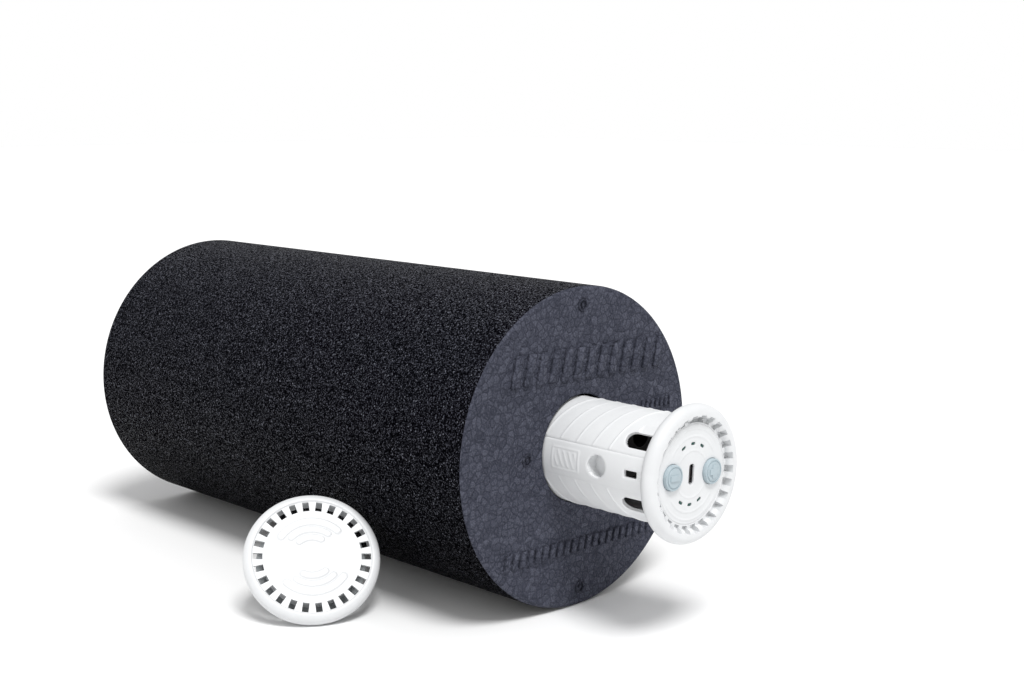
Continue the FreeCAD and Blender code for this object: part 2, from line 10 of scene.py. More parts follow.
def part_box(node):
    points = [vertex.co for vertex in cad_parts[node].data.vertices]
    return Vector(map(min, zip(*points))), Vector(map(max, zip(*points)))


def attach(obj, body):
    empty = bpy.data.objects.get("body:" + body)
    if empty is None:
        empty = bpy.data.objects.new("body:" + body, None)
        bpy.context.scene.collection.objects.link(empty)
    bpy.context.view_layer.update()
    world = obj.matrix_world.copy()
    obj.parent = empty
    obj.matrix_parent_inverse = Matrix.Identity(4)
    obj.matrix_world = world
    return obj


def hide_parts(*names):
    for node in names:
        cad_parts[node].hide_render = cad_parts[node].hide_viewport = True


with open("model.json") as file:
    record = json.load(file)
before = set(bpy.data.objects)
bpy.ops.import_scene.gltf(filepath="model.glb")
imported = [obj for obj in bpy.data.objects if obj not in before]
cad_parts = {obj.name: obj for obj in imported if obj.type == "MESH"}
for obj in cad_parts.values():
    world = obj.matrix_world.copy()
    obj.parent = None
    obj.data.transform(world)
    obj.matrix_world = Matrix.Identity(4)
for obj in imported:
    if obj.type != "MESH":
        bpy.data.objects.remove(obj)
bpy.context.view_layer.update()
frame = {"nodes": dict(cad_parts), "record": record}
nodes = frame["nodes"]
mm = 0.001

# where the three groups of pieces stand, read from the frame

foamLow, foamHigh = (np.array(corner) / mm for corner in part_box("foam_roller"))
foamCentre = (foamLow + foamHigh) / 2
foamRadius = (foamHigh[2] - foamLow[2]) / 2
plugLow, plugHigh = (np.array(corner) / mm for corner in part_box("core_end_plug"))
coreCentre = (plugLow + plugHigh) / 2                     # only its y and z are used, the core's axis
coreCentre[0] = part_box("core_shell_upper")[1][0] / mm     # the casing's front edge
capLow, capHigh = (np.array(corner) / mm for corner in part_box("cap_cover"))

coreTurn = 3.5                                            # degrees the core is turned in its bore
capPose = {"yaw": 58.3, "lean": 39.3, "roll": 2.8}        # degrees, heading, backward lean and roll


def turnX(angle):
    # rotation about X by an angle in degrees
    c, s = math.cos(math.radians(angle)), math.sin(math.radians(angle))
    return np.array([[1, 0, 0], [0, c, -s], [0, s, c]])


def turnY(angle):
    # rotation about Y by an angle in degrees
    c, s = math.cos(math.radians(angle)), math.sin(math.radians(angle))
    return np.array([[c, 0, s], [0, 1, 0], [-s, 0, c]])


def turnZ(angle):
    # rotation about Z by an angle in degrees
    c, s = math.cos(math.radians(angle)), math.sin(math.radians(angle))
    return np.array([[c, -s, 0], [s, c, 0], [0, 0, 1]])


def onFoam(points):
    # foam coordinates: x = 0 in the middle of the roller, y and z from its axis
    return (points + foamCentre) * mm


def inCore(points):
    # core coordinates: x = 0 at the casing's front edge, turned a little about the axis
    return (points @ turnX(-coreTurn).T + coreCentre) * mm


def inCap(points):
    # cap coordinates: +X out of the face, x = 0 half a millimetre in front of the rim's middle
    turn = turnZ(capPose["yaw"] - 90) @ turnY(-capPose["lean"]) @ turnX(capPose["roll"])
    return ((points + [0.5, 0, 0]) @ turn.T + (capLow + capHigh) / 2) * mm


# mesh tools


def gridFaces(rows, cols, closeRows=False, closeCols=False):
    # quads between neighbouring points of a rows by cols grid, joined round where asked
    r = np.arange(rows if closeRows else rows - 1)
    c = np.arange(cols if closeCols else cols - 1)
    r, c = (a.ravel() for a in np.meshgrid(r, c, indexing="ij"))
    r2, c2 = (r + 1) % rows, (c + 1) % cols
    return np.stack([r * cols + c, r * cols + c2, r2 * cols + c2, r2 * cols + c], 1)


def thicken(outer, inner, faces):
    # a closed wall: outer faces, inner faces turned over, and a strip along every open edge
    count = len(outer)
    edges = np.stack([faces, np.roll(faces, -1, 1)], 2).reshape(-1, 2)
    keys = edges.min(1) * count + edges.max(1)
    _, first, times = np.unique(keys, return_index=True, return_counts=True)
    rim = edges[first[times == 1]]
    strip = np.stack([rim[:, 1], rim[:, 0], rim[:, 0] + count, rim[:, 1] + count], 1)
    return np.concatenate([outer, inner]), np.concatenate([faces, faces[:, ::-1] + count, strip])


def addPiece(name, points, faces, body, slotName, replaced=(), sharp=32, finish=None):
    # welds the doubles, drops unused points, turns the faces outward and hangs it on its body
    mesh = bpy.data.meshes.new(name)
    mesh.from_pydata(points.tolist(), [], faces.tolist())
    work = bmesh.new()
    work.from_mesh(mesh)
    bmesh.ops.remove_doubles(work, verts=work.verts, dist=2e-6)
    bmesh.ops.dissolve_degenerate(work, edges=work.edges, dist=1e-6)
    bmesh.ops.delete(work, geom=[v for v in work.verts if not v.link_faces], context="VERTS")
    bmesh.ops.recalc_face_normals(work, faces=work.faces)
    work.to_mesh(mesh)
    work.free()
    mesh.polygons.foreach_set("use_smooth", np.ones(len(mesh.polygons), bool))
    mesh.set_sharp_from_angle(angle=math.radians(sharp))
    piece = bpy.data.objects.new(name, mesh)
    bpy.context.scene.collection.objects.link(piece)
    mesh.materials.append(finishes[finish or slotName])
    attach(piece, body)
    if replaced:
        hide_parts(*replaced)
    print("made", name, len(mesh.polygons), "faces")
    return piece


def roundedPath(corners, radii, steps=5, closed=True):
    # an outline of (x, r) corners with each corner replaced by an arc tangent to its two sides
    corners = np.array(corners, float)
    count = len(corners)
    path = []
    for i, (corner, radius) in enumerate(zip(corners, radii)):
        if radius <= 0 or (not closed and i in (0, count - 1)):
            path.append(corner)
            continue
        before = corners[i - 1] - corner
        after = corners[(i + 1) % count] - corner
        before, after = before / np.linalg.norm(before), after / np.linalg.norm(after)
        half = math.acos(np.clip(before @ after, -1, 1)) / 2
        middle = corner + (before + after) / np.linalg.norm(before + after) * radius / math.sin(half)
        start, end = corner + before * radius / math.tan(half), corner + after * radius / math.tan(half)
        a, b = start - middle, end - middle
        sweep = math.atan2(a[0] * b[1] - a[1] * b[0], a @ b)
        turn = np.linspace(0, sweep, steps + 1)
        path.extend(middle + np.stack([a[0] * np.cos(turn) - a[1] * np.sin(turn),
                                       a[0] * np.sin(turn) + a[1] * np.cos(turn)], 1))
    return np.array(path)


def lathe(path, steps):
    # carries a closed (x, r) outline round the X axis
    angle = np.linspace(0, 2 * math.pi, steps, endpoint=False)
    x = np.repeat(path[:, :1], steps, 1)
    y, z = path[:, 1:] * np.cos(angle), path[:, 1:] * np.sin(angle)
    points = np.stack([x, y, z], 2).reshape(-1, 3)
    return points, gridFaces(len(path), steps, True, True)


def spread(*stretches):
    # positions along a line: each stretch is (start, end, pitch)
    parts = [np.linspace(a, b, max(2, int(round(abs(b - a) / pitch)) + 1)) for a, b, pitch in stretches]
    return np.unique(np.round(np.concatenate(parts), 6))


def ease(x):
    # 0 below 0, 1 above 1, smooth between
    x = np.clip(x, 0, 1)
    return x * x * (3 - 2 * x)


def boxDistance(x, y, halfX, halfY, corner=0.0):
    # signed distance to a rectangle with rounded corners, negative inside
    qx, qy = np.abs(x) - halfX + corner, np.abs(y) - halfY + corner
    outside = np.hypot(np.maximum(qx, 0), np.maximum(qy, 0))
    return outside + np.minimum(np.maximum(qx, qy), 0) - corner


def snap(flat, distance, reach):
    # moves points that lie near a hole's edge onto it, along the slope of the distance
    step = 0.01
    for _ in range(2):
        here = distance(flat)
        slope = np.stack([distance(flat + [step, 0]) - here, distance(flat + [0, step]) - here], 1) / step
        size = np.maximum(np.linalg.norm(slope, axis=1, keepdims=True), 0.3)
        near = np.abs(here) < reach
        flat[near] -= (here[:, None] * slope / size ** 2)[near]
    return flat


# materials


def newMaterial(name):
    # an empty shader with the object's own coordinates at hand
    material = bpy.data.materials.new(name)
    material.use_nodes = True
    tree = material.node_tree
    shader = tree.nodes["Principled BSDF"]
    place = tree.nodes.new("ShaderNodeTexCoord").outputs["Object"]
    return material, tree, shader, place


def noise(tree, place, scale, detail=3.0, rough=0.55):
    # cloudy values between 0 and 1
    node = tree.nodes.new("ShaderNodeTexNoise")
    tree.links.new(place, node.inputs["Vector"])
    node.inputs["Scale"].default_value = scale
    node.inputs["Detail"].default_value = detail
    node.inputs["Roughness"].default_value = rough
    return node.outputs["Fac"]


def cells(tree, place, scale, feature="F1"):
    # a pattern of cells, by distance to the nearest seed or to the seam between two
    node = tree.nodes.new("ShaderNodeTexVoronoi")
    node.feature = feature
    tree.links.new(place, node.inputs["Vector"])
    node.inputs["Scale"].default_value = scale
    return node


def ramp(tree, value, low, high, colours):
    # spreads two or more colours evenly between two values of the input
    node = tree.nodes.new("ShaderNodeValToRGB")
    tree.links.new(value, node.inputs["Fac"])
    points = node.color_ramp.elements
    while len(points) < len(colours):
        points.new(0.5)
    for i, colour in enumerate(colours):
        points[i].position = low + (high - low) * i / (len(colours) - 1)
        points[i].color = (*colour, 1) if hasattr(colour, "__len__") else (colour, colour, colour, 1)
    return node.outputs["Color"]


def mix(tree, factor, a, b, kind="MIX"):
    # a to b by the factor, or the two multiplied
    node = tree.nodes.new("ShaderNodeMix")
    node.data_type = "RGBA"
    node.blend_type = kind
    for socket, value in ((node.inputs[0], factor), (node.inputs[6], a), (node.inputs[7], b)):
        if isinstance(value, bpy.types.NodeSocket):
            tree.links.new(value, socket)
        elif hasattr(value, "__len__"):
            socket.default_value = (*value, 1)
        else:
            socket.default_value = value
    return node.outputs[2]


def sums(tree, operation, a, b):
    # one step of arithmetic on two values
    node = tree.nodes.new("ShaderNodeMath")
    node.operation = operation
    for socket, value in zip(node.inputs, (a, b)):
        if isinstance(value, bpy.types.NodeSocket):
            tree.links.new(value, socket)
        else:
            socket.default_value = value
    return node.outputs[0]


def bump(tree, shader, height, distance, strength=1.0):
    # tilts the surface as if it stood out by height times the distance
    node = tree.nodes.new("ShaderNodeBump")
    node.inputs["Strength"].default_value = strength
    node.inputs["Distance"].default_value = distance
    tree.links.new(height, node.inputs["Height"])
    tree.links.new(node.outputs["Normal"], shader.inputs["Normal"])


def mouldedPlastic(name, colour, rough, grain=0.00002):
    # moulded plastic: slightly cloudy colour, a fine satin grain and uneven gloss
    material, tree, shader, place = newMaterial(name)
    colour = np.array(colour)
    cloud = noise(tree, place, 60, 4)
    tree.links.new(ramp(tree, cloud, 0.3, 0.7, [colour * 0.965, np.minimum(colour * 1.02, 1)]),
                   shader.inputs["Base Color"])
    tree.links.new(ramp(tree, noise(tree, place, 220, 2), 0.3, 0.7, [rough * 0.85, rough * 1.15]),
                   shader.inputs["Roughness"])
    bump(tree, shader, noise(tree, place, 2600, 3), grain, 0.5)
    return material


def metal(name, colour, rough, along=(1, 1, 1)):
    # plated metal: stretched scratches in gloss and height over a dull cloud
    material, tree, shader, place = newMaterial(name)
    stretch = tree.nodes.new("ShaderNodeMapping")
    stretch.inputs["Scale"].default_value = along
    tree.links.new(place, stretch.inputs["Vector"])
    colour = np.array(colour)
    scratch = noise(tree, stretch.outputs["Vector"], 1500, 5, 0.7)
    tree.links.new(ramp(tree, noise(tree, place, 180), 0.3, 0.7, [colour * 0.8, colour]),
                   shader.inputs["Base Color"])
    tree.links.new(ramp(tree, scratch, 0.3, 0.7, [rough * 0.7, rough * 1.3]), shader.inputs["Roughness"])
    shader.inputs["Metallic"].default_value = 1.0
    bump(tree, shader, scratch, 0.00002, 0.5)
    return material


foamLook = {
    # colours from pits to grain tops on the side, and from seams to bead tops on the ends
    "side": [(0.0006, 0.0006, 0.0010), (0.0040, 0.0042, 0.0062), (0.032, 0.034, 0.048)],
    "end": [(0.024, 0.026, 0.036), (0.048, 0.051, 0.070), (0.105, 0.110, 0.143)],
    # painted glints: the colour of the bright specks painted into the side's grain
    "paintedGlint": (0.13, 0.135, 0.16),
    "relief": 1.35,            # how much lighter the raised bars are: painted light for the light they catch
    # painted shade on the raised bars' flanks, darker below their tops
    "paintedFlankShade": (0.9, 1.1),       # the bars darken below these heights above the face, in mm,
    "paintedFlankShadeShare": 0.16,        # down to this share
    "sideGloss": [0.0, 0.03, 0.42],
    "endGloss": [0.03, 0.12],
    "plainGloss": 0.15,        # where only one value can be kept
    "glossTint": (0.82, 0.84, 1.0, 1),
    "paintedTopLight": (0.52, 2.25),      # painted top light: how the grain's colour and gloss lighten from low to high
    "paintedTopLightHeights": (0.03, 0.15),   # metres above the floor
    "beadScale": 300,          # beads per metre on the ends
    "beadWobble": 0.0012,
    "grainScale": 1400,        # grains per metre on the side
    "paintedGlintScale": 560,
    "height": 0.0004,          # how far the grain seems to stand out
    "endStarts": 1.2,          # how far from the flat ends the side's grain stops
}


def beadFoam(name, paintedLightLift=1.0):
    # dark bead foam: fine grain with a few painted glints on the round side, larger fused beads on the flat
    # ends
    look = foamLook
    material, tree, shader, place = newMaterial(name)
    split = tree.nodes.new("ShaderNodeSeparateXYZ")
    tree.links.new(place, split.inputs["Vector"])
    half = foamHigh[0] - foamCentre[0]
    across = sums(tree, "SUBTRACT", split.outputs["X"], foamCentre[0] * mm)
    onEnd = sums(tree, "GREATER_THAN", sums(tree, "ABSOLUTE", across, 0.0), (half - look["endStarts"]) * mm)

    # the ends: cells of uneven outline, darker along their seams
    wobble = tree.nodes.new("ShaderNodeVectorMath")
    wobble.operation = "MULTIPLY_ADD"
    drift = tree.nodes.new("ShaderNodeTexNoise")
    drift.inputs["Scale"].default_value = 260
    tree.links.new(place, drift.inputs["Vector"])
    tree.links.new(drift.outputs["Color"], wobble.inputs[0])
    wobble.inputs[1].default_value = [look["beadWobble"]] * 3
    tree.links.new(place, wobble.inputs[2])
    uneven = wobble.outputs["Vector"]
    seams = cells(tree, uneven, look["beadScale"], "DISTANCE_TO_EDGE").outputs["Distance"]
    beads = cells(tree, uneven, look["beadScale"])
    fine = noise(tree, place, 1400, 3, 0.6)
    tone = mix(tree, 0.45, ramp(tree, seams, 0.0, 0.14, [0.0, 0.7]), beads.outputs["Color"])
    tone = mix(tree, 0.45, tone, ramp(tree, fine, 0.3, 0.7, [0.0, 1.0]))
    # a lift above 1 gives the raised bars a lighter copy of the foam, painted light, with painted shade on
    # their flanks
    endColour = ramp(tree, tone, 0.12, 0.85, np.array(look["end"]) * paintedLightLift)
    if paintedLightLift > 1:
        start, end = look["paintedFlankShade"]
        paintedFlankShade = ramp(tree, across, (half + start) * mm, (half + end) * mm, [look["paintedFlankShadeShare"], 1.0])
        endColour = mix(tree, 1.0, endColour, paintedFlankShade, "MULTIPLY")

    # the side: small grains with a few painted glints, lighter towards the top by painted top light
    grain = cells(tree, place, look["grainScale"]).outputs["Distance"]
    soft = ramp(tree, noise(tree, place, 950, 1, 0.5), 0.3, 0.7, [0.0, 1.0])
    sideTone = mix(tree, 0.32, ramp(tree, grain, 0.1, 0.8, [1.0, 0.0]), soft)
    # painted top light: the side's colour and gloss fall off towards the floor
    low, top = look["paintedTopLight"]
    paintedTopLightShare = ramp(tree, split.outputs["Z"], *look["paintedTopLightHeights"], [low / top, 1.0])
    sideColour = ramp(tree, sideTone, 0.24, 0.92, np.array(look["side"]) * top)
    sideColour = mix(tree, 1.0, sideColour, paintedTopLightShare, "MULTIPLY")
    sideGloss = ramp(tree, sideTone, 0.30, 0.86, np.array(look["sideGloss"]) * top)
    sideGloss = mix(tree, 1.0, sideGloss, paintedTopLightShare, "MULTIPLY")
    # painted glints: a few grain cells take a bright colour
    paintedGlintCells = cells(tree, place, look["paintedGlintScale"])
    paintedGlint = ramp(tree, paintedGlintCells.outputs["Distance"], 0.16, 0.24, [1.0, 0.0])
    chosen = ramp(tree, paintedGlintCells.outputs["Color"], 0.62, 0.68, [0.0, 1.0])
    sideColour = mix(tree, mix(tree, 1.0, paintedGlint, chosen, "MULTIPLY"), sideColour, look["paintedGlint"])

    tree.links.new(mix(tree, onEnd, sideColour, endColour), shader.inputs["Base Color"])
    rough = mix(tree, onEnd, ramp(tree, sideTone, 0.3, 0.8, [0.6, 0.34]),
                ramp(tree, tone, 0.2, 0.8, [0.72, 0.55]))
    tree.links.new(rough, shader.inputs["Roughness"])
    shader.inputs["Specular Tint"].default_value = look["glossTint"]
    shader.inputs["Specular IOR Level"].default_value = look["plainGloss"]
    gloss = mix(tree, onEnd, sideGloss, ramp(tree, tone, 0.2, 0.8, look["endGloss"]))
    tree.links.new(gloss, shader.inputs["Specular IOR Level"])
    endHeight = mix(tree, 0.35, ramp(tree, seams, 0.0, 0.2, [0.0, 1.0]), fine)
    bump(tree, shader, mix(tree, onEnd, sideTone, endHeight), look["height"], 0.9)
    return material


def woundBoard(name, colour, line):
    # a circuit board: dark laminate crossed by straight tracks
    material, tree, shader, place = newMaterial(name)
    tracks = tree.nodes.new("ShaderNodeTexBrick")
    tree.links.new(place, tracks.inputs["Vector"])
    tracks.inputs["Scale"].default_value = 140
    tracks.inputs["Mortar Size"].default_value = 0.03
    tracks.inputs["Color1"].default_value = (*colour, 1)
    tracks.inputs["Color2"].default_value = (*(np.array(colour) * 0.7), 1)
    tracks.inputs["Mortar"].default_value = (*line, 1)
    tree.links.new(mix(tree, 0.35, tracks.outputs["Color"], ramp(tree, noise(tree, place, 300), 0.3, 0.7,
                   [np.array(colour) * 0.5, np.array(colour) * 1.4])), shader.inputs["Base Color"])
    shader.inputs["Roughness"].default_value = 0.45
    bump(tree, shader, tracks.outputs["Fac"], 0.00004, 0.6)
    return material


finishes = {
    "bead_foam": beadFoam("bead foam"),
    # the raised bars: a lighter copy of the bead foam, painted light, with painted shade on their flanks
    "foam_relief_painted_light": beadFoam("foam relief painted light", foamLook["relief"]),
    "white_casing": mouldedPlastic("white casing", (0.79, 0.80, 0.81), 0.42),
    # painted shade: a darker copy of the white casing for the flange, face, cap and spigot, toning down the
    # faces turned to the light
    "white_front_painted_shade": mouldedPlastic("white front painted shade", (0.72, 0.73, 0.74), 0.42),
    "grey_key": mouldedPlastic("grey key", (0.41, 0.49, 0.53), 0.40),
    "grey_rubber": mouldedPlastic("grey rubber", (0.30, 0.315, 0.325), 0.7, 0.00005),
    "black_rubber": mouldedPlastic("black rubber", (0.018, 0.018, 0.019), 0.75, 0.00005),
    "dark_plastic": mouldedPlastic("dark plastic", (0.022, 0.02, 0.02), 0.5),
    "screw_steel": metal("screw steel", (0.62, 0.62, 0.64), 0.3, (1, 6, 1)),
    "brown_board": woundBoard("brown board", (0.075, 0.035, 0.014), (0.16, 0.07, 0.025)),
    "lamp_green": mouldedPlastic("lamp green", (0.006, 0.055, 0.045), 0.2),
    "cell_wrap": mouldedPlastic("cell wrap", (0.04, 0.16, 0.36), 0.28),
    "nickel_strip": metal("nickel strip", (0.66, 0.64, 0.6), 0.25, (1, 1, 7)),
    "can_aluminium": metal("can aluminium", (0.78, 0.78, 0.8), 0.28, (1, 1, 8)),
    "motor_steel": metal("motor steel", (0.5, 0.5, 0.52), 0.32, (1, 8, 8)),
    "motor_iron": metal("motor iron", (0.13, 0.13, 0.14), 0.55),
    "bush_bronze": metal("bush bronze", (0.55, 0.38, 0.18), 0.45),
    "weight_iron": metal("weight iron", (0.32, 0.32, 0.33), 0.4, (8, 1, 1)),
}

slotOf = {row["node"]: row["material_slot"] for row in frame["record"]["subparts"]}
for nodeName, node in nodes.items():
    node.data.materials.clear()
    node.data.materials.append(finishes[slotOf[nodeName]])
print("finishes ready")


# camera, floor and light

shot = {
    "azimuth": 45.36, "elevation": 9.27, "roll": 0.22, "distance": 0.7066,
    "target": (0.1045, 0.0, 0.1192), "lens": 52.13,
}


def addCamera():
    # the camera sits on a sphere round its target and is rolled about its own axis
    az, el, roll = (math.radians(shot[k]) for k in ("azimuth", "elevation", "roll"))
    back = Vector((math.sin(az) * math.cos(el), -math.cos(az) * math.cos(el), math.sin(el)))
    right = Vector((0, 0, 1)).cross(back).normalized()
    up = back.cross(right)
    right, up = (right * math.cos(roll) + up * math.sin(roll), up * math.cos(roll) - right * math.sin(roll))
    data = bpy.data.cameras.new("camera")
    data.lens = shot["lens"]
    data.sensor_width = 36
    data.clip_start = 0.01
    camera = bpy.data.objects.new("camera", data)
    bpy.context.scene.collection.objects.link(camera)
    place = Matrix((right, up, back)).transposed().to_4x4()
    place.translation = Vector(shot["target"]) + back * shot["distance"]
    camera.matrix_world = place
    bpy.context.scene.camera = camera


lighting = {
    "backdrop": 1.0,             # how bright the sky looks
    "sky": 0.64,                 # how much light it gives
    "sun": {"from": (0.48, -0.2, 1.0), "power": 2.3, "spread": 20},
    "fill": {"from": (-0.9, -1.3, 0.12), "aim": (0.1, 0, 0.06), "size": (0.9, 0.3), "power": 1.2},
}


def addLight(name, kind, start, aim, power):
    # a light at start that looks at aim
    data = bpy.data.lights.new(name, kind)
    data.energy = power
    light = bpy.data.objects.new(name, data)
    bpy.context.scene.collection.objects.link(light)
    light.location = start
    light.rotation_euler = (Vector(aim) - Vector(start)).to_track_quat("-Z", "Y").to_euler()
    return data


def addStudio():
    # a wide white floor that the round side and the cap rest on, under a plain bright sky
    half = 6.0
    mesh = bpy.data.meshes.new("floor")
    mesh.from_pydata([(-half, -half, 0), (half, -half, 0), (half, half, 0), (-half, half, 0)], [],
                     [(0, 1, 2, 3)])
    floor = bpy.data.objects.new("floor", mesh)
    bpy.context.scene.collection.objects.link(floor)
    material, tree, shader, place = newMaterial("pale floor")
    tree.links.new(ramp(tree, noise(tree, place, 3, 2), 0.3, 0.7, [(0.93, 0.93, 0.93), (0.95, 0.95, 0.95)]),
                   shader.inputs["Base Color"])
    shader.inputs["Roughness"].default_value = 0.7
    shader.inputs["Specular IOR Level"].default_value = 0.075
    mesh.materials.append(material)
    world = bpy.data.worlds.new("sky")
    world.use_nodes = True
    tree = world.node_tree
    seen = tree.nodes.new("ShaderNodeLightPath").outputs["Is Camera Ray"]
    span = lighting["backdrop"] - lighting["sky"]
    strength = sums(tree, "ADD", sums(tree, "MULTIPLY", seen, span), lighting["sky"])
    tree.links.new(strength, tree.nodes["Background"].inputs["Strength"])
    tree.nodes["Background"].inputs["Color"].default_value = (1, 1, 1, 1)
    bpy.context.scene.world = world
    sun, fill = lighting["sun"], lighting["fill"]
    addLight("sun", "SUN", sun["from"], (0, 0, 0), sun["power"]).angle = math.radians(sun["spread"])
    panel = addLight("fill", "AREA", fill["from"], fill["aim"], fill["power"])
    panel.shape = "RECTANGLE"
    panel.size, panel.size_y = fill["size"]
    bpy.context.scene.view_settings.view_transform = "Standard"


addCamera()
addStudio()
print("camera and studio ready")


# foam roller

foam = {
    "bore": 25.2, "edge": 1.8, "boreEdge": 0.8, "sidePitch": 2.4, "facePitch": 0.9, "turns": 420,
    "beadPitch": 3.4, "beadDepth": 0.12,         # shallow hollows between the beads on the ends
    "markRadius": 2.6, "markDeep": 0.6, "markHigh": 66.4, "markSide": 35.3,
    "markRing": (2.15, 2.9), "markRingHigh": 0.5, "markPin": 0.8, "markPinHigh": 0.3, "markBase": 0.9,
    "relief": 1.3, "sunk": 0.6,                  # how far the raised bars stand out and reach in
}


def beadSeam(y, z, pitch, seed):
    # distance-like value of a jittered cell pattern: 0 on the seam between two cells, 1 inside
    rng = np.random.default_rng(seed)
    size = 64
    jitter = rng.random((size, size, 2)) * 0.8 + 0.1
    gy, gz = np.floor(y / pitch).astype(int), np.floor(z / pitch).astype(int)
    near = np.full(y.shape + (2,), 9.0)
    for dy in (-1, 0, 1):
        for dz in (-1, 0, 1):
            cy, cz = gy + dy, gz + dz
            spot = jitter[cy % size, cz % size]
            away = np.hypot(y / pitch - cy - spot[..., 0], z / pitch - cz - spot[..., 1])
            near = np.sort(np.concatenate([near, away[..., None]], -1), -1)[..., :2]
    return np.clip((near[..., 1] - near[..., 0]) / 0.35, 0, 1)


def markPlaces():
    # the four moulding marks, above and below the bore and at its sides
    high, side = foam["markHigh"], foam["markSide"]
    return [(0, high), (0, -high), (side, 0), (-side, 0)]


def makeFoam():
    # an outline of side, rounded edges, end faces and bore, carried round the X axis;
    # the end faces sink a little between beads and round the four moulding marks
    half, outer, bore = (foamHigh[0] - foamLow[0]) / 2, foamRadius, foam["bore"]
    e, b = foam["edge"], foam["boreEdge"]
    side = spread((-half + e, half - e, foam["sidePitch"]))
    face = spread((bore + b, outer - e, foam["facePitch"]))
    arc = np.radians(spread((0, 90, 15)))[1:-1]
    path = np.concatenate([
        np.stack([side, np.full_like(side, outer)], 1),
        np.stack([half - e + e * np.sin(arc), outer - e + e * np.cos(arc)], 1),
        np.stack([np.full_like(face, half), face[::-1]], 1),
        np.stack([half - b + b * np.cos(arc), bore + b - b * np.sin(arc)], 1),
        np.stack([np.linspace(half - b, -half + b, 40), np.full(40, bore)], 1),
        np.stack([-half + b - b * np.sin(arc), bore + b - b * np.cos(arc)], 1),
        np.stack([np.full_like(face, -half), face], 1),
        np.stack([-half + e - e * np.cos(arc), outer - e + e * np.sin(arc)], 1),
    ])
    points, faces = lathe(path, foam["turns"])
    onFace = np.abs(np.abs(points[:, 0]) - half) < 1e-6
    x, y, z = points[onFace].T
    depth = (1 - ease(beadSeam(y, z, foam["beadPitch"], 7))) * foam["beadDepth"]
    for my, mz in markPlaces():
        away = np.hypot(y - my, z - mz)
        depth = depth + foam["markDeep"] * (1 - ease((away - foam["markRadius"] + 0.2) / 0.5)) * (x > 0)
    points[onFace, 0] = x - np.sign(x) * depth
    piece = addPiece("foam_body", onFoam(points), faces, "roller", "bead_foam", ["foam_roller"], 50)


blockRows = [
    # rows of plain raised slanted bars: from and to (y, z on the face), height, slant, count, width
    {"start": (-46, 40.9), "end": (57, 39.2), "height": 14.2, "slant": 3.2, "count": 13, "wide": 4.4},
    {"start": (-50, -44.6), "end": (50, -46.2), "height": 6.6, "slant": 1.4, "count": 21, "wide": 2.6},
    {"start": (41, 14.6), "end": (64, 13.9), "height": 4.4, "slant": 0.8, "count": 7, "wide": 1.7},
]


def ringStack(shape, levels, centre):
    # copies of a flat outline at each (x, inset) level, shrunk towards their middle, closed at both ends
    layers = [np.column_stack([np.full(len(shape), x), centre + shape * (1 - inset)])
              for x, inset in levels]
    layers.insert(0, np.repeat(layers[0].mean(0, keepdims=True), len(shape), 0))
    layers.append(np.repeat(layers[-1].mean(0, keepdims=True), len(shape), 0))
    return np.concatenate(layers), gridFaces(len(layers), len(shape), False, True)


def joined(parts):
    # several (points, faces) pairs as one
    counts = np.cumsum([0] + [len(points) for points, _ in parts])
    return (np.concatenate([points for points, _ in parts]),
            np.concatenate([faces + base for (_, faces), base in zip(parts, counts)]))


def makeBlocks():
    # each bar is a slanted rectangle with rounded corners, standing out of the end face;
    # the four moulding marks are a low pin inside a raised ring
    half = (foamHigh[0] - foamLow[0]) / 2
    top = half + foam["relief"]
    levels = [(half - foam["sunk"], 0.0), (top - 0.25, 0.0), (top, 0.07)]
    parts = []
    for row in blockRows:
        start, end = np.array(row["start"], float), np.array(row["end"], float)
        along = (end - start) / np.linalg.norm(end - start)
        across = np.array([-along[1], along[0]])
        wide, high, slant = row["wide"] / 2, row["height"] / 2, row["slant"] / 2
        corners = [(-wide - slant, -high), (wide - slant, -high),
                   (wide + slant, high), (-wide + slant, high)]
        shape = roundedPath(corners, [0.45] * 4, 3)
        shape = shape[:, :1] * along + shape[:, 1:] * across
        inset = along * (wide + slant)
        for centre in np.linspace(start + inset, end - inset, row["count"]):
            parts.append(ringStack(shape, levels, centre))
    turn = np.linspace(0, 2 * math.pi, 40, endpoint=False)
    pin = foam["markPin"] * np.stack([np.cos(turn), np.sin(turn)], 1)
    base, ringTop, pinTop = half - foam["markBase"], half + foam["markRingHigh"], half + foam["markPinHigh"]
    inner, outer = foam["markRing"]
    ring, ringFaces = lathe(roundedPath([(base, outer), (ringTop, outer), (ringTop, inner), (base, inner)],
                                        [0, 0.2, 0.2, 0]), 48)
    for place in markPlaces():
        parts.append((ring + [0, *place], ringFaces))
        parts.append(ringStack(pin, [(base, 0.0), (pinTop - 0.2, 0.0), (pinTop, 0.3)], place))
    points, faces = joined(parts)
    addPiece("foam_blocks", onFoam(points), faces, "roller", "bead_foam", sharp=50, finish="foam_relief_painted_light")


makeFoam()
makeBlocks()


# core casing

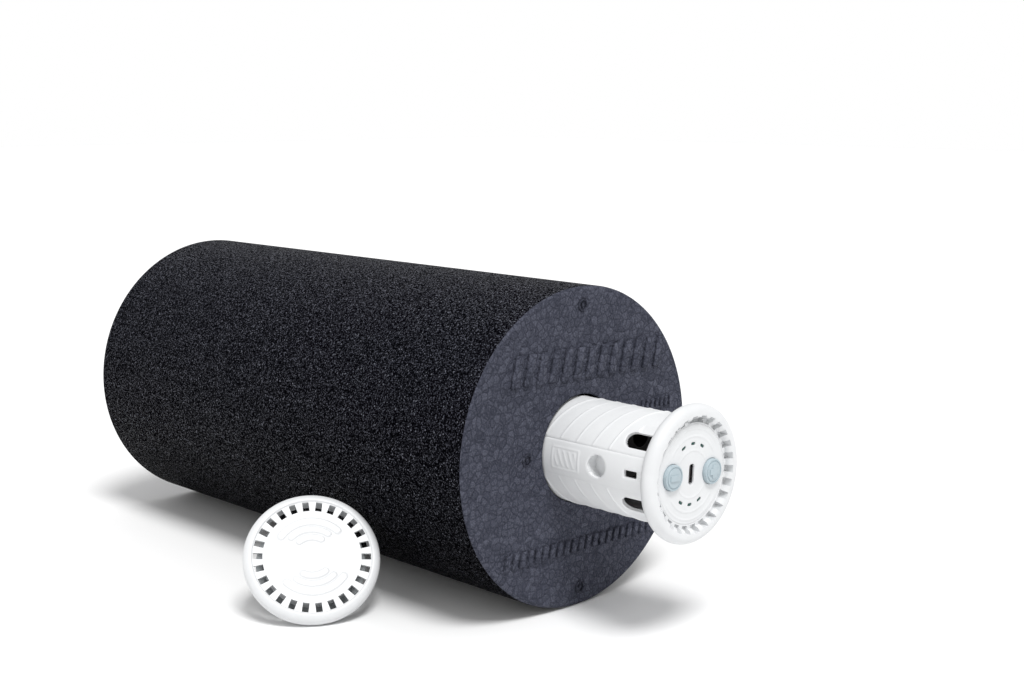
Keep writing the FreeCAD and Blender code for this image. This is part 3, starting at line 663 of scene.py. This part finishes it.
casing = {
    "radius": 24.75, "inner": 22.75, "length": 288, "seam": 19, "strip": 24.33,
    "ribPitch": 9.6, "ribFirst": -52.3, "ribLean": 0.15, "ribHigh": 0.30, "ribWide": 0.42, "step": 0.12,
    "ventAngle": 36, "ventWide": 8.0, "ventLong": 16.6, "ledgeAngle": 48.5, "ledgeLong": 11.5,
    "slotHigh": 3.2, "slotStart": -13, "slotEnd": -6.4, "recess": 0.6,
    "wellRadius": 5.2, "wellFloor": 18.3, "wellLip": 4.9, "wellOut": 6.4, "wellTop": 23.2,
    "stations": (-29, -124, -262), "seamGroove": 0.28, "seamGrooveWide": 0.35,
    "lineGroove": 0.12, "lineGrooveWide": 0.3, "softEdge": 0.22,
    "panelMiddle": -47.5, "panelHalf": (7.8, 4.9), "panelInside": (6.4, 3.6), "frameHigh": 0.16,
    "barHigh": 0.14, "barPitch": 3.2, "barLean": 0.45,
    # grid positions along the casing, closest together at the holes and ribs that are seen
    "stretches": ((-275, -250, 0.5), (-250, -132, 0.8), (-132, -116, 0.5), (-116, -57, 0.8),
                  (-57, 0, 0.42)),
}


def foldAngle(angle):
    # the angle away from the nearer of the two smooth side strips, 0 on -Y and on +Y
    turn = (angle + 180) % 360 - 180
    return np.where(np.abs(turn) > 90, 180 - np.abs(turn), np.abs(turn)), turn


def casingHoles(flat):
    # signed distance on the unrolled casing (x, angle in degrees) to vents, slots and screw wells
    x, angle = flat.T
    away, _ = foldAngle(angle)
    perDegree = math.radians(casing["radius"])
    reach = casing["ventLong"] / 2 + 1
    vents = boxDistance(x + reach - 2, (away - casing["ventAngle"]) * perDegree,
                        reach, casing["ventWide"] / 2, casing["ventWide"] / 2 - 0.01)
    slots = boxDistance(x - (casing["slotStart"] + casing["slotEnd"]) / 2, away * perDegree,
                        (casing["slotEnd"] - casing["slotStart"]) / 2, casing["slotHigh"] / 2, 0.3)
    nearest = np.minimum(vents, slots)
    across = casing["radius"] * np.sin(np.radians(away))
    for station in casing["stations"]:
        nearest = np.minimum(nearest, np.hypot(x - station, across) - casing["wellRadius"])
    return nearest


def makeShell(name, first, last, fine):
    # columns follow the chevron ribs: x = position + lean * angle past the strip, faded out at both ends;
    # radius = strip radius, plus beyond the strip a shallow saw step and a thin round-topped rib
    positions = spread((-casing["length"], casing["stretches"][0][0], 1.2), *casing["stretches"])
    angles = spread(*fine)
    p, a = np.meshgrid(positions, angles, indexing="ij")
    away, _ = foldAngle(a)
    past = np.maximum(away - casing["seam"], 0)
    fade = ease(-p / 24) * ease((p + casing["length"]) / 24)
    x = p + casing["ribLean"] * past * fade
    flat = snap(np.stack([x.ravel(), a.ravel()], 1), casingHoles, 0.24)
    away = foldAngle(flat[:, 1])[0]
    past = away - casing["seam"]
    phase = (p.ravel() - casing["ribFirst"]) / casing["ribPitch"]
    tooth = phase - np.floor(phase)
    offRib = np.minimum(tooth, 1 - tooth) * casing["ribPitch"]
    ribs = casing["ribHigh"] * np.exp(-(offRib / casing["ribWide"]) ** 2) + casing["step"] * (1 - tooth)
    ribs = ribs * ease((past - 0.6) / 2.0) * ease((-p.ravel() - 17) / 5)
    radius = casing["strip"] + ribs
    perDegree = math.radians(casing["radius"])
    for edge in (first, last):
        gap = np.abs(flat[:, 1] - edge) * perDegree
        radius = radius - casing["seamGroove"] * np.exp(-(gap / casing["seamGrooveWide"]) ** 2)
    if name == "shell_lower":
        lowLine = (away - casing["seam"]) * perDegree
        below = np.sin(np.radians(flat[:, 1])) < 0
        radius = radius - casing["lineGroove"] * np.exp(-(lowLine / casing["lineGrooveWide"]) ** 2) * below
        radius = radius + stripPanel(flat, away)
    radius = radius - casing["softEdge"] * np.exp(-np.maximum(casingHoles(flat), 0) / 0.28)
    # shallow recesses from the slot to the front edge and above each upper vent
    behindSlot = boxDistance(flat[:, 0] - casing["slotEnd"] / 2, away * perDegree,
                             -casing["slotEnd"] / 2 + 0.5, casing["slotHigh"] / 2, 0.2)
    overVent = boxDistance(flat[:, 0] + casing["ledgeLong"] / 2, (away - casing["ledgeAngle"]) * perDegree,
                           casing["ledgeLong"] / 2 + 0.5, 1.4, 0.9) + 9 * (flat[:, 1] < 0)
    radius = radius - casing["recess"] * (1 - ease((np.minimum(behindSlot, overVent) + 0.25) / 0.5))
    outer = ringPoints(flat, radius)
    inner = ringPoints(flat, np.full(len(flat), casing["inner"]))
    faces = gridFaces(len(positions), len(angles))
    inside = casingHoles(flat)[faces]
    faces = faces[~((inside.mean(1) < -0.02) & (inside.max(1) < 0.12))]
    points, faces = thicken(outer, inner, faces)
    node = "core_" + name
    addPiece(node.replace("core", "casing"), inCore(points), faces, "core", "white_casing", [node], 40)


def ringPoints(flat, radius):
    # x stays, the angle counts from -Y towards +Z
    angle = np.radians(flat[:, 1])
    return np.stack([flat[:, 0], -radius * np.cos(angle), radius * np.sin(angle)], 1)


def stripPanel(flat, away):
    # a shallow framed panel on the -Y strip with plain slanted bars in it
    x, angle = flat.T
    turn = foldAngle(angle)[1]
    up = turn * math.radians(casing["radius"])
    x = x - casing["panelMiddle"]
    frameEdge = np.abs(boxDistance(x, up, *casing["panelHalf"], 0.6))
    high = casing["frameHigh"] * (1 - ease((frameEdge - 0.25) / 0.35))
    inPanel = boxDistance(x, up, *casing["panelInside"], 0.2) < 0
    pitch = casing["barPitch"]
    stripes = np.abs((x + casing["panelMiddle"] + casing["barLean"] * up + 100) % pitch - pitch / 2)
    bars = casing["barHigh"] * (1 - ease((stripes - 0.35) / 0.35)) * inPanel
    return (high + bars) * (away < casing["seam"] - 1)


def makeWells():
    # each well is a sleeve along Y, carried round its own axis; the plug below makes its floor
    hole, lip, out = casing["wellRadius"], casing["wellLip"], casing["wellOut"]
    top, floor = casing["wellTop"], casing["wellFloor"]
    path = roundedPath([(top, hole), (floor, hole), (floor, lip), (floor - 1.2, lip), (floor - 1.2, out),
                        (top, out)], [0, 0.1, 0.1, 0.1, 0.3, 0])
    cup, faces = lathe(path, 48)
    points, allFaces = [], []
    for station in casing["stations"]:
        for side in (-1, 1):
            turned = np.stack([station + cup[:, 1], side * cup[:, 0], cup[:, 2]], 1)
            allFaces.append(faces + len(cup) * len(points))
            points.append(turned)
    addPiece("screw_wells", inCore(np.concatenate(points)), np.concatenate(allFaces), "core", "white_casing")


# the upper half spans seam to seam over the top; the lower half carries both side strips
makeShell("shell_upper", 19, 161, [(19, 48, 0.9), (48, 132, 3.5), (132, 161, 0.9)])
makeShell("shell_lower", -199, 19, [(-199, -132, 0.9), (-132, -48, 3.5), (-48, 19, 0.9)])
makeWells()


# flange, face and keys

bezel = {
    "rim": 30.8, "front": 7.2, "back": 0.1, "rimInner": 23.8, "rounds": (0, 2.5, 3.5, 3.5, 0),
    "face": 4.6, "seat": 22.05,
    "ledge": 20.2, "ledgeFront": 2.55, "collar": 22.65, "collarBack": -0.4,
    "slots": 26, "slotWide": 3.3, "slotIn": 22.6, "slotOut": 25.9, "slotFloor": 3.2,
    "notchSlot": 6, "notchOut": 25.0, "notchFloor": 1.0,
    "hookBack": -6, "hookFront": 0.2, "hookHigh": 16.5, "hookSteps": 60,
}


def slotColumns(count, halfWide, radius, double):
    # angles of the grid's columns at each radius: between slots, at their straight edges and inside them
    pitch = 2 * math.pi / count
    edge = np.arcsin(np.clip(halfWide / radius, -1, 1))[:, None]
    half, one = pitch / 2, np.ones_like(edge)
    columns = [-half * one, -(half + edge) / 2, -edge, -edge / 2, 0 * one, edge / 2, edge, (half + edge) / 2]
    inSlot = [False, False, False, True, True, True, False, False]
    if double:
        inner = edge - 0.06 / radius[:, None]
        columns = columns[:3] + [-inner] + columns[3:6] + [inner] + columns[6:]
        inSlot = inSlot[:3] + [True] + inSlot[3:6] + [True] + inSlot[6:]
    columns = np.concatenate(columns, 1)
    angle = (np.arange(count) * pitch)[None, :, None] + columns[:, None, :]
    return angle.reshape(len(radius), -1), np.tile(inSlot, count)


def makeBezel():
    # the flange's outline carried round X; in the slot columns its front drops to the slot floor
    k = bezel
    rimTop = roundedPath([(k["face"], k["rimInner"]), (k["front"], k["rimInner"]), (k["front"], k["rim"]),
                          (k["back"], k["rim"]), (k["back"], k["collar"])], k["rounds"], 10, False)
    rest = np.array([(k["collarBack"], k["collar"]), (k["collarBack"], k["ledge"]),
                     (k["ledgeFront"], k["ledge"]), (k["ledgeFront"], k["seat"]),
                     (k["face"] - 0.2, k["seat"]), (k["face"], k["seat"] + 0.2)])
    front = np.array([(k["face"], r) for r in spread((k["slotIn"], k["rimInner"], 0.4))])
    path = np.concatenate([rest, front, rimTop[1:]])
    extra = []                             # the path again, with a close pair where the slots end
    for i, (x, r) in enumerate(path):
        extra.append((x, r))
        if i + 1 < len(path) and x > k["face"] - 0.01 and r < k["slotOut"] < path[i + 1][1]:
            share = (k["slotOut"] - r) / (path[i + 1][1] - r)
            extra.append((x + share * (path[i + 1][0] - x), k["slotOut"] - 0.04))
            extra.append((x + share * (path[i + 1][0] - x), k["slotOut"] + 0.04))
    path = np.array(extra)
    start = int(np.argmin(np.hypot(path[:, 0] - k["face"], path[:, 1] - k["slotIn"])))
    path = np.insert(path, start, [k["face"], k["slotIn"] - 0.06], 0)
    angle, inSlot = slotColumns(k["slots"], k["slotWide"] / 2, path[:, 1], True)
    radius = np.repeat(path[:, 1:], angle.shape[1], 1)
    x = np.repeat(path[:, :1], angle.shape[1], 1)
    carved = (radius >= k["slotIn"] - 0.01) & (radius <= k["slotOut"]) & (x >= k["face"] - 0.01)
    x = np.where(carved & inSlot[None, :], k["slotFloor"], x)
    pitch = 2 * math.pi / k["slots"]
    off = (angle - k["notchSlot"] * pitch + math.pi) % (2 * math.pi) - math.pi
    notch = (np.abs(off) < pitch * 0.72) & (radius >= k["slotIn"] - 0.01) & (radius < k["notchOut"]) & carved
    x = np.where(notch, k["notchFloor"], x)
    points = np.stack([x, radius * np.cos(angle), radius * np.sin(angle)], 2).reshape(-1, 3)
    faces = gridFaces(*angle.shape, True, True)
    hooks = [(points, faces)]
    start = math.degrees(math.asin(k["hookHigh"] / k["collar"]))
    for side in (1, -1):                   # the two arcs of the collar that reach into the casing
        turns = np.radians(side * np.linspace(start, 180 - start, k["hookSteps"]))[:, None]
        ring = np.array([(k["hookBack"], k["collar"]), (k["hookBack"], k["ledge"]),
                         (k["hookFront"], k["ledge"]), (k["hookFront"], k["collar"])])
        arc = np.stack([np.repeat(ring[None, :, 0], len(turns), 0), -ring[:, 1] * np.cos(turns),
                        ring[:, 1] * np.sin(turns)], 2)
        ends = np.repeat(arc[[0, -1]].mean(1, keepdims=True), len(ring), 1)
        arc = np.concatenate([ends[:1], arc, ends[1:]])
        hooks.append((arc.reshape(-1, 3), gridFaces(*arc.shape[:2], False, True)))
    points, faces = joined(hooks)
    addPiece("flange", inCore(points), faces, "core", "white_casing", ["control_bezel"], 38, "white_front_painted_shade")


facePlate = {
    "radius": 22.0, "front": 4.6, "back": 2.6, "keyReach": 13.4, "keyHole": 5.8,
    "lampReach": 13.35, "lampTurns": (-28, 0, 28, 152, 180, 208), "lampLong": 2.9, "lampHigh": 1.35,
    "socketHalf": (1.75, 4.6), "rings": ((10.4, 0.4), (16.6, 0.45), (20.0, 0.4)), "ringHigh": 0.22,
}


def faceHoles(flat):
    # signed distance on the face (y, z) to the key holes, lamp windows and socket opening
    y, z = flat.T
    nearest = boxDistance(y, z, *facePlate["socketHalf"], 1.6)
    for side in (-1, 1):
        nearest = np.minimum(nearest, np.hypot(y - side * facePlate["keyReach"], z) - facePlate["keyHole"])
    for turn in np.radians(facePlate["lampTurns"]):
        along = y * np.cos(turn) + z * np.sin(turn)
        out = z * np.cos(turn) - y * np.sin(turn) - facePlate["lampReach"]
        nearest = np.minimum(nearest, boxDistance(along, out, facePlate["lampLong"] / 2,
                                                  facePlate["lampHigh"] / 2, facePlate["lampHigh"] / 2))
    return nearest


def makeFace():
    # a disc of rings and spokes, raised along three faint rings that the keys interrupt, with a rounded rim
    radii = np.concatenate([[0.4], spread((0.8, facePlate["radius"], 0.34))])
    turns = np.linspace(0, 2 * math.pi, 340, endpoint=False)
    r, t = np.meshgrid(radii, turns, indexing="ij")
    flat = snap(np.stack([(r * np.cos(t)).ravel(), (r * np.sin(t)).ravel()], 1), faceHoles, 0.21)
    away = np.hypot(*flat.T)
    front = np.full(len(flat), facePlate["front"])
    vertical = np.abs(flat[:, 1]) / np.maximum(away, 0.1)
    for ringRadius, width in facePlate["rings"]:
        front += (facePlate["ringHigh"] * np.exp(-((away - ringRadius) / width) ** 2)
                  * ease((vertical - 0.45) / 0.2))
    hole = faceHoles(flat)
    front -= 0.16 * np.exp(-np.maximum(hole, 0) / 0.22) + 0.2 * ease((away - facePlate["radius"] + 0.3) / 0.3)
    faces = gridFaces(len(radii), len(turns), False, True)
    inside = hole[faces]
    faces = faces[~((inside.mean(1) < -0.02) & (inside.max(1) < 0.1))]
    outer = np.column_stack([front, flat])
    inner = np.column_stack([np.full(len(flat), facePlate["back"]), flat])
    points, faces = thicken(outer, inner, faces)
    addPiece("face_plate", inCore(points), faces, "core", "white_casing", ["control_face"], 38, "white_front_painted_shade")


def makeLamps():
    # a lens with round ends just below the face in each window
    p = facePlate
    wide, high = p["lampLong"] / 2 - 0.05, p["lampHigh"] / 2 - 0.05
    corners = [(-wide, -high), (wide, -high), (wide, high), (-wide, high)]
    shape = roundedPath(corners, [high * 0.98] * 4, 5)
    levels = [(p["back"] - 0.8, 0.0), (p["front"] - 0.45, 0.0), (p["front"] - 0.3, 0.3)]
    lens, faces = ringStack(shape, levels, (0, p["lampReach"]))
    lamps = [(lens @ turnX(turn).T, faces) for turn in p["lampTurns"]]
    points, faces = joined(lamps)
    addPiece("lamp_lenses", inCore(points), faces, "core", "lamp_green", ["light_guides"])


key = {
    "reach": 13.4, "radius": 5.6, "front": 6.5, "back": 1.6, "flange": 6.1, "flangeTop": 2.5,
    "crown": 4.75, "groove": 4.35, "grooveDeep": 0.55, "sign": 3.0, "signWide": 1.3, "signHigh": 0.5,
}


def crossOutline(arm, half, upright):
    # the outline of a minus bar, or of a plus made of two bars, with rounded ends
    if not upright:
        corners = [(arm, half), (-arm, half), (-arm, -half), (arm, -half)]
    else:
        quarter = [(arm, -half), (arm, half), (half, half)]
        corners = [(a * math.cos(q) - b * math.sin(q), a * math.sin(q) + b * math.cos(q))
                   for q in np.arange(4) * math.pi / 2 for a, b in quarter]
    return roundedPath(corners, [0.25] * len(corners), 3)


def makeKey(name, side, upright):
    # a rounded disc with a groove round its crown, carried round its own axis, and a raised sign
    k = key
    front, low = k["front"], k["front"] - k["grooveDeep"]
    top, skirt = front - 0.1, k["flangeTop"]
    path = roundedPath([(k["back"], 0), (top, 0), (top, k["groove"] - 0.15), (low, k["groove"]),
                        (low, k["crown"]), (front - 0.25, k["crown"] + 0.1), (front - 0.35, k["radius"]),
                        (skirt, k["radius"]), (skirt, k["flange"]), (k["back"], k["flange"])],
                       [0, 0, 0.15, 0, 0, 0.12, 0.3, 0, 0.1, 0.1], 3)
    disc, faces = lathe(path, 96)
    outline = crossOutline(k["sign"], k["signWide"], upright)
    sign, signFaces = ringStack(outline, [(top - 0.4, 0.0), (top + k["signHigh"] - 0.1, 0.0),
                                          (top + k["signHigh"], 0.06)], (0, 0))
    points = np.concatenate([disc, sign]) + [0, side * k["reach"], 0]
    addPiece(name + "_cap", inCore(points), np.concatenate([faces, signFaces + len(disc)]),
             name, "grey_key", [name.replace("key", "button")], 40)


makeBezel()
makeFace()
makeLamps()
makeKey("minus_key", -1, False)
makeKey("plus_key", 1, True)


# end cap

cap = {
    "radius": 31.2, "front": 3.5, "rear": 4.5, "round": 3.4, "face": 2.9, "faceBack": 1.7, "rimInner": 26.9,
    "skirt": 27.0, "plain": 21.5, "slots": 26, "slotWide": 3.0, "slotIn": 22.4, "slotOut": 26.8,
    "bands": ((7.6, 10.9, 43), (11.6, 14.7, 47), (15.2, 18.9, 55)), "bandHigh": 0.4,
}


def bandHeight(radius, turn):
    # raised arcs with round ends above and below the middle
    high = np.zeros_like(radius)
    for inner, outer, span in cap["bands"]:
        middle, half = (inner + outer) / 2, (outer - inner) / 2
        off = np.abs((np.degrees(turn) + 90) % 180 - 90)
        off = np.abs(90 - off)
        endAngle = span - math.degrees(half / middle)
        past = np.maximum(np.radians(off - endAngle) * middle, 0)
        distance = np.hypot(radius - middle, past) - half
        high = np.maximum(high, cap["bandHigh"] * (1 - ease((distance + 0.45) / 0.6)))
    return high


def makeCap():
    # front and back heights over radius and angle, joined at the rim, with the slots left out
    c = cap
    ringMiddle = c["radius"] - c["round"]
    radii = np.unique(np.round(np.concatenate([
        [0.02], spread((0.3, c["plain"], 0.3)), [c["slotIn"], 23.4, 25.0, c["slotOut"], c["rimInner"]],
        [c["skirt"], c["skirt"] + 0.08, 27.35, 27.6],
        ringMiddle + c["round"] * np.sin(np.linspace(0, math.pi / 2, 14)),
    ]), 5))
    angle, inSlot = slotColumns(c["slots"], c["slotWide"] / 2, np.maximum(radii, c["plain"]), False)
    angle = angle + math.pi / c["slots"]
    r = np.repeat(radii[:, None], angle.shape[1], 1)
    drop = c["round"] - np.sqrt(np.maximum(c["round"] ** 2 - np.maximum(r - ringMiddle, 0) ** 2, 0))
    rise = c["face"] + (c["front"] - c["face"]) * ease((r - c["rimInner"]) / 0.7)
    front = rise + bandHeight(r, angle) - drop
    back = np.where(r < c["skirt"] + 0.01, c["faceBack"], drop - c["rear"])
    faces = gridFaces(*angle.shape, False, True)
    rows = faces // angle.shape[1]
    middleRadius = radii[rows].mean(1)
    column = faces % angle.shape[1]
    per = len(inSlot) // c["slots"]
    nextToSlot = (column % per >= 2) & (column % per <= 6)
    cut = nextToSlot.all(1) & (middleRadius > c["slotIn"]) & (middleRadius < c["slotOut"])
    faces = faces[~cut]
    y, z = r * np.cos(angle), r * np.sin(angle)
    outer = np.stack([front, y, z], 2).reshape(-1, 3)
    inner = np.stack([back, y, z], 2).reshape(-1, 3)
    points, faces = thicken(outer, inner, faces)
    addPiece("cap_disc", inCap(points), faces, "end_cap", "white_casing", ["cap_cover"], 38, "white_front_painted_shade")


spigot = {
    "inner": 19.9, "outer": 21.6, "back": -9.2, "front": 1.75,
    "groove": 20.9, "grooveSpan": (-7.6, -5.6),
}


def makeSpigot():
    # the ring that plugs into the bore, with a groove for its rubber ring
    k = spigot
    start, end = k["grooveSpan"]
    path = roundedPath([(k["back"], k["inner"]), (k["front"], k["inner"]), (k["front"], k["outer"]),
                        (end, k["outer"]), (end, k["groove"]), (start, k["groove"]), (start, k["outer"]),
                        (k["back"], k["outer"])], [0.3, 0, 0, 0.15, 0.1, 0.1, 0.15, 0.5], 3)
    points, faces = lathe(path, 160)
    addPiece("spigot_ring", inCap(points), faces, "end_cap", "white_casing", ["cap_spigot"],
             finish="white_front_painted_shade")


makeCap()
makeSpigot()
